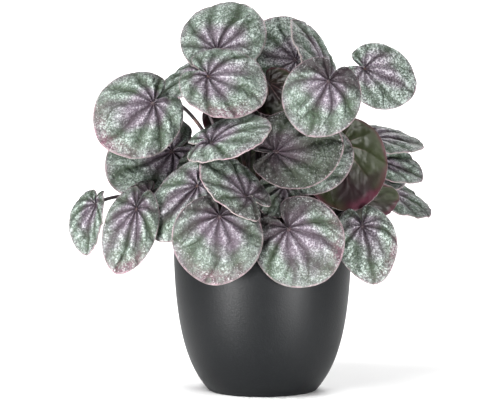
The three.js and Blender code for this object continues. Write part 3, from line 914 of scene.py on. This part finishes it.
def bend_leaf(leaf, number):
    """The mesh of one leaf, with its finishes and with what they need to know."""
    chance = random.Random(number)
    heart, *axes = blade_axes(leaf)
    blade = ~on_stalk
    points = np.zeros_like(flat)
    main, side = draw_veins(spoke, chance)
    veins = (main[blade], side[blade])
    in_axes = blade_points(leaf, spoke[blade], ring[blade], depth[blade], veins, chance)
    points[blade] = in_axes @ np.array(axes) + np.array(heart)
    points[on_stalk] = stalk_points(leaf, flat[on_stalk])
    mesh = blank_mesh.copy()
    mesh.name = f"ripple_leaf_{number:02d}"
    mesh.vertices.foreach_set("co", points.ravel())
    where = BLUSHING.get(number, chance.uniform(-0.5, 0.5))
    strength = BLUSH_STRENGTH
    if number not in BLUSHING:
        strength = chance.choice((0, 0, 0.4)) * (number > len(LEAVES))
    blush = strength * np.exp(-(((spoke - where) / BLUSH_WIDTH) ** 2)) * rise(ring, 0.68, 0.92)
    # Painted shade on the lobes, over their own darker plum.
    lobe_shade_and_tone = LOBE_SHADE_AND_TONE.get(number, chance.uniform(0.1, 0.4)) * rise(np.abs(spoke), 0.42, 0.72)
    reaches = [chance.uniform(-0.35, 0.5) for _ in VEIN_NUMBERS]
    # These numbers carry painted shade on the whole leaf and on the lobes, over the lobes' own darker
    # plum, and painted light or shade laid on as more or less frost.
    kept = {
        "blush": blush,
        "painted_shade": np.full(len(flat), PAINTED_SHADE_BY_LEAF.get(number, 0.0)),
        "lobe_shade_and_tone": lobe_shade_and_tone,
        "painted_light_frost": np.full(len(flat), PAINTED_LIGHT_AS_FROST.get(number, 0.0)),
        "main_depth": main,
        "side_depth": side,
        "mauve_reach": np.interp(RIBS_PER_SIDE * spoke, VEIN_NUMBERS, reaches),
    }
    for name, values in kept.items():
        mesh.attributes.new(name, "FLOAT", "POINT").data.foreach_set("value", values)
    for finish in leaf_finishes:
        mesh.materials.append(finish)
    mesh.update()
    return mesh


for number, leaf in enumerate(leaves, 1):
    grown = bpy.data.objects.new(f"ripple_leaf_{number:02d}", bend_leaf(leaf, number))
    bpy.context.scene.collection.objects.link(grown)
    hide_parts(f"leaf_{number:02d}")
    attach(grown, "root")
bpy.data.meshes.remove(blank_mesh)
print("leaves bent:", len(leaves))

# %% [markdown]
# ## The pot
# The pot is a smooth cup, thrown or moulded round an axis, so it is one outline spun round. The side
# follows a single curve from the foot, through the quick swell, to the nearly straight rim, and the
# lip between its outside and its inside is round. Spinning gives the round that the faceted solid
# lacks.

# %% Draw the outline and spin it
POT_STEPS = 160


def side_curve(inwards, bottom, top, steps):
    """The pot's side, moved inwards by a distance and kept between two heights."""
    corners = ((FOOT_RADIUS, 0), SWELL, SHOULDER, (RIM_RADIUS, RIM_HEIGHT))
    points = []
    for t in np.linspace(0, 1, steps):
        weights = cubic_weights(t)
        radius = sum(w * c[0] for w, c in zip(weights, corners)) - inwards
        height = sum(w * c[1] for w, c in zip(weights, corners))
        if bottom < height < top:
            points.append((radius, height))
    return points


def spun(outline):
    """A mesh turned from an outline of radii and heights that starts and ends on the axis."""
    shape = bmesh.new()
    corners = [shape.verts.new((radius, 0, height)) for radius, height in outline]
    for low, high in zip(corners, corners[1:]):
        shape.edges.new((low, high))
    bmesh.ops.spin(
        shape,
        geom=shape.verts[:] + shape.edges[:],
        cent=(0, 0, 0),
        axis=(0, 0, 1),
        angle=2 * math.pi,
        steps=POT_STEPS,
        use_merge=True,
    )
    bmesh.ops.remove_doubles(shape, verts=shape.verts, dist=1e-6)
    bmesh.ops.recalc_face_normals(shape, faces=shape.faces)
    for face in shape.faces:
        face.smooth = True
    return shape


FOOT_EDGE = 1.2 * MM
lip = WALL / 2
outside = side_curve(0, FOOT_EDGE, RIM_HEIGHT - lip, 60)
inside = side_curve(WALL, FLOOR_THICKNESS, RIM_HEIGHT - lip, 40)
foot = [
    (0, 0),
    (FOOT_RADIUS * 0.5, 0),
    (FOOT_RADIUS - 0.6 * FOOT_EDGE, 0),
    (FOOT_RADIUS + 0.1 * FOOT_EDGE, 0.3 * FOOT_EDGE),
]
round_lip = [
    (RIM_RADIUS - lip + lip * math.cos(angle), RIM_HEIGHT - lip + lip * math.sin(angle))
    for angle in np.linspace(0, math.pi, 11)
]
pot_shape = spun(foot + outside + round_lip + inside[::-1] + [(0, FLOOR_THICKNESS)])
pot_mesh = bpy.data.meshes.new("charcoal_pot")
pot_shape.to_mesh(pot_mesh)
pot_shape.free()
pot = bpy.data.objects.new("charcoal_pot", pot_mesh)
bpy.context.scene.collection.objects.link(pot)
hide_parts("pot")
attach(pot, "root")
print("faces on the pot:", len(pot_mesh.polygons))

# %% [markdown]
# The pot's finish is a satin charcoal coat. Close up, such a coat is slightly pebbled, and its gloss
# varies a little. Both are grain: a fine one in the bump and in the colour, and a wide one in the
# roughness.

# %% Finish the pot
CHARCOAL = paint(8, 10, 12)
CHARCOAL_LIGHT = paint(17, 19, 21)


def make_pot_finish():
    finish = Finish("satin_charcoal", Specular_IOR_Level=0.19)
    pebble = finish.grain(0.5 * MM, 2.0, 0.6)
    wide = finish.grain(25 * MM, 2.0)
    finish.set(Base_Color=finish.mix(CHARCOAL, CHARCOAL_LIGHT, pebble.rise(0.45, 0.75) * 0.8))
    finish.set(Roughness=0.41 + pebble * 0.06 + wide * 0.03)
    finish.bump(pebble, 0.12 * MM)
    return finish.material


pot.data.materials.append(make_pot_finish())
print("pot finish:", pot.data.materials[0].name)

# %% [markdown]
# ## The potting mix
# Little of the mix shows between the leaves, but from above it does. It is a dark, crumbly mound with
# chips of bark. The mound is spun from an outline as the pot is, and its top is then moved by noise.
# The chips are small squashed balls of a few faces each, strewn on the mound by a seeded draw.

# %% Shape the mound
soil_bottom = FLOOR_THICKNESS + SOIL_GAP
soil_side = side_curve(WALL + SOIL_GAP, soil_bottom, SOIL_LEVEL, 30)
soil_edge = soil_side[-1][0]
SOIL_RINGS = 40
LUMP_WIDTH = 9 * MM
LUMP_HEIGHT = 1.2 * MM
CRUMB_WIDTH = 2.4 * MM
CRUMB_HEIGHT = 0.8 * MM
top_rings = [(soil_edge * (1 - k / SOIL_RINGS), SOIL_LEVEL) for k in range(SOIL_RINGS + 1)]
mound = spun([(0, soil_bottom), (soil_side[0][0], soil_bottom)] + soil_side + top_rings)


def mound_height(x, y):
    """The crumbly top of the mix."""
    heap = SOIL_HEAP * (1 - math.hypot(x, y) / RIM_RADIUS)
    lumps = noise.noise(Vector((x, y, 0)) / LUMP_WIDTH) * LUMP_HEIGHT
    crumbs = noise.noise(Vector((x, y, 0.3)) / CRUMB_WIDTH) * CRUMB_HEIGHT
    return SOIL_LEVEL + heap + lumps + crumbs


for vert in mound.verts:
    if vert.co.z > SOIL_LEVEL - 0.01 * MM:
        vert.co.z = mound_height(vert.co.x, vert.co.y)
mound_mesh = bpy.data.meshes.new("potting_mix")
mound.to_mesh(mound_mesh)
mound.free()
potting_mix = bpy.data.objects.new("potting_mix", mound_mesh)
bpy.context.scene.collection.objects.link(potting_mix)
print("faces on the mound:", len(mound_mesh.polygons))

# %% Strew the chips of bark
CHIPS = 420
SEED = 7
FROM_WALL = 2.5 * MM
CHIP_RISE = 0.2 * MM
chance = random.Random(SEED)
chips = bmesh.new()
for _ in range(CHIPS):
    far = (soil_edge - FROM_WALL) * math.sqrt(chance.random())
    bearing = chance.uniform(0, 2 * math.pi)
    x = far * math.cos(bearing)
    y = far * math.sin(bearing)
    turn = Matrix.Rotation(chance.uniform(0, 2 * math.pi), 4, "Z")
    turn = turn @ Matrix.Rotation(chance.uniform(-0.5, 0.5), 4, "X")
    size = chance.uniform(0.8, 2.0) * MM
    form = Matrix.Diagonal((size * chance.uniform(1, 2), size, size * chance.uniform(0.3, 0.6), 1))
    lying = Matrix.Translation((x, y, mound_height(x, y) + CHIP_RISE)) @ turn @ form
    bmesh.ops.create_icosphere(chips, subdivisions=1, radius=1, matrix=lying)
chip_mesh = bpy.data.meshes.new("bark_chips")
chips.to_mesh(chip_mesh)
chips.free()
bark_chips = bpy.data.objects.new("bark_chips", chip_mesh)
bpy.context.scene.collection.objects.link(bark_chips)
print("faces on the chips:", len(chip_mesh.polygons))

# %% Finish the mix and the chips
PEAT = paint(44, 33, 26)
PEAT_DARK = paint(22, 17, 14)
BARK = paint(92, 62, 40)
BARK_PALE = paint(132, 98, 66)


def make_crumb_finish(name, low, high, size):
    finish = Finish(name, Specular_IOR_Level=0.3)
    crumb = finish.grain(size, 4.0, 0.7)
    finish.set(Base_Color=finish.mix(low, high, crumb.rise(0.35, 0.65)), Roughness=0.8 + crumb * 0.2)
    finish.bump(crumb, 0.6 * MM)
    return finish.material


potting_mix.data.materials.append(make_crumb_finish("peat", PEAT_DARK, PEAT, 1.6 * MM))
bark_chips.data.materials.append(make_crumb_finish("bark", BARK, BARK_PALE, 2.5 * MM))
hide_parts("soil")
for piece in (potting_mix, bark_chips):
    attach(piece, "root")
print("finishes of the mix:", [piece.data.materials[0].name for piece in (potting_mix, bark_chips)])

# %% [markdown]
# ## The studio
# The plant stands on a pale sweep, a floor that curves up into a back wall, so that no edge shows
# behind it. The sweep is wide, low and far away, to leave room for looking from behind. Two soft boxes
# stand left and right of the camera. They light the leaves and draw the two soft upright bands on the
# pot, which two small low boxes carry on towards the foot. A wide box hangs above, one behind lights
# the far leaves, and a strong one turns the wall white.

# %% Sweep the floor up into the wall
SWEEP_FRONT = -2.5
SWEEP_BACK = 2.7
SWEEP_CURVE = 0.6
SWEEP_HEIGHT = 1.0
SWEEP_HALF = 2.5
profile = [(SWEEP_FRONT, 0.0)]
for angle in np.linspace(0, math.pi / 2, 13):
    profile.append((SWEEP_BACK + SWEEP_CURVE * math.sin(angle), SWEEP_CURVE * (1 - math.cos(angle))))
profile.append((SWEEP_BACK + SWEEP_CURVE, SWEEP_HEIGHT))
sweep = bmesh.new()
line = [sweep.verts.new((-SWEEP_HALF, y, z)) for y, z in profile]
edges = [sweep.edges.new(pair) for pair in zip(line, line[1:])]
drawn = bmesh.ops.extrude_edge_only(sweep, edges=edges)["geom"]
far_side = [item for item in drawn if isinstance(item, bmesh.types.BMVert)]
bmesh.ops.translate(sweep, verts=far_side, vec=(2 * SWEEP_HALF, 0, 0))
bmesh.ops.recalc_face_normals(sweep, faces=sweep.faces)
if sweep.faces[0].normal.z < 0:
    bmesh.ops.reverse_faces(sweep, faces=sweep.faces)
for face in sweep.faces:
    face.smooth = True
sweep_mesh = bpy.data.meshes.new("studio_sweep")
sweep.to_mesh(sweep_mesh)
sweep.free()
studio = bpy.data.objects.new("studio_sweep", sweep_mesh)
bpy.context.scene.collection.objects.link(studio)
paper = Finish("pale_paper", Roughness=0.9, Specular_IOR_Level=0.1)
paper.set(Base_Color=paper.mix(paint(246, 246, 246), paint(250, 250, 250), paper.grain(0.2)))
studio.data.materials.append(paper.material)
studio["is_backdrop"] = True
print("the sweep stands", SWEEP_HEIGHT, "m high")

# %% Set the lights and the pale surroundings


def soft_box(name, bearing, distance, height, wide, tall, power, aim=(0, 0, 0.12)):
    """An area light that faces the plant from so many degrees round to the right of the front."""
    light = bpy.data.lights.new(name, "AREA")
    light.shape = "RECTANGLE"
    light.size = wide
    light.size_y = tall
    light.energy = power
    box = bpy.data.objects.new(name, light)
    angle = math.radians(bearing)
    box.location = (distance * math.sin(angle), -distance * math.cos(angle), height)
    box.rotation_euler = (Vector(aim) - box.location).to_track_quat("-Z", "Y").to_euler()
    bpy.context.scene.collection.objects.link(box)


soft_box("soft_box_left", -36, 0.9, 0.08, 0.1, 0.23, 6, aim=(0, 0, 0.09))
soft_box("soft_box_right", 37, 0.9, 0.08, 0.1, 0.23, 4.6, aim=(0, 0, 0.09))
soft_box("low_strip_left", -39, 0.3, 0.03, 0.06, 0.05, 0.7, aim=(0, 0, 0.04))
soft_box("low_strip_right", 38, 0.3, 0.03, 0.06, 0.05, 0.6, aim=(0, 0, 0.04))
soft_box("soft_box_above", -40, 0.6, 0.95, 0.6, 0.6, 16)
soft_box("soft_box_behind", 155, 0.8, 0.8, 0.6, 0.6, 11)
soft_box("wall_light", 180, 1.9, 1.8, 1.2, 0.8, 85, aim=(0, 3.2, 0.1))
world = bpy.data.worlds.new("pale_room")
world.use_nodes = True
world.node_tree.nodes["Background"].inputs["Color"].default_value = (1, 1, 1, 1)
world.node_tree.nodes["Background"].inputs["Strength"].default_value = 0.05
bpy.context.scene.world = world
bpy.context.scene.view_settings.view_transform = "Standard"
print("soft boxes:", sum(item.type == "LIGHT" for item in bpy.context.scene.objects))

# %% [markdown]
# ## The camera
# The camera stands a little above the rim, 1.3 m away, and looks almost level. A long lens keeps the
# leaves in front from looking too large.

# %% Place the camera
CAMERA_PLACE = (-7.8 * MM, -1300 * MM, 201 * MM)
CAMERA_DOWN = math.radians(3.6)
PICTURE_WIDTH = 500
FOCAL_PIXELS = 2080
lens = bpy.data.cameras.new("camera")
lens.sensor_width = 36
lens.lens = FOCAL_PIXELS / PICTURE_WIDTH * lens.sensor_width
camera = bpy.data.objects.new("camera", lens)
camera.location = CAMERA_PLACE
camera.rotation_euler = (math.pi / 2 - CAMERA_DOWN, 0, 0)
bpy.context.scene.collection.objects.link(camera)
bpy.context.scene.camera = camera
print("lens:", round(lens.lens, 1), "mm")

# %% [markdown]
# ## Print the sizes and finish
# The finer pieces are meant to stay inside the box of the solid model. Both boxes are printed.

# %% Print the boxes and finish
seen_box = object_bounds()
boxes = {"cad": [list(corner) for corner in solid_box], "visual": [list(corner) for corner in seen_box]}
print("boxes:", boxes)
